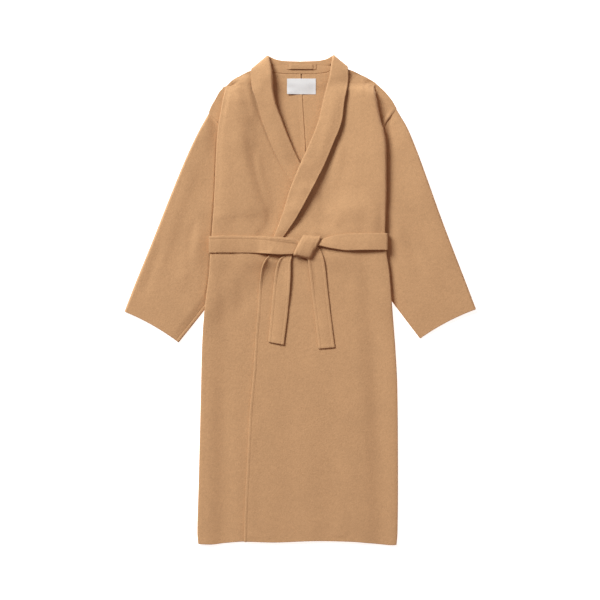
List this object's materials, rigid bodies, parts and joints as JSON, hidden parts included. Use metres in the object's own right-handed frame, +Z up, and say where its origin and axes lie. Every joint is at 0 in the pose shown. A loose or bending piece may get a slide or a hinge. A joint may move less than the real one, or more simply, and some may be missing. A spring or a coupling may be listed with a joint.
{
  "type": "wool wrap coat",
  "caption": "Long wrap coat in thick felted wool with a shawl collar, dropped shoulders, wide sleeves and a tied belt of the same cloth, laid flat on its back.",
  "frame": {"origin": "under the middle of the coat's bounding box, on the surface it lies on", "axes": "+Z up from the surface the coat lies on, out of its front; +Y towards the collar; +X towards the wearer's left sleeve"},
  "size_m": [0.8452, 1.1774, 0.0304],
  "materials": {
    "wool": "soft felted double-faced wool, camel, matt with a short raised nap",
    "label": "plain off-white woven label, matt"
  },
  "bodies": {
    "root": {"back_left": "wool", "back_right": "wool", "front_left": "wool", "front_right": "wool", "sleeve_left": "wool", "sleeve_right": "wool", "collar_left": "wool", "collar_right": "wool", "neck_band": "wool", "hanger_loop": "wool", "belt_waist": "wool", "belt_knot": "wool", "belt_tail_left": "wool", "belt_tail_right": "wool", "label": "label"}
  },
  "joints": []
}
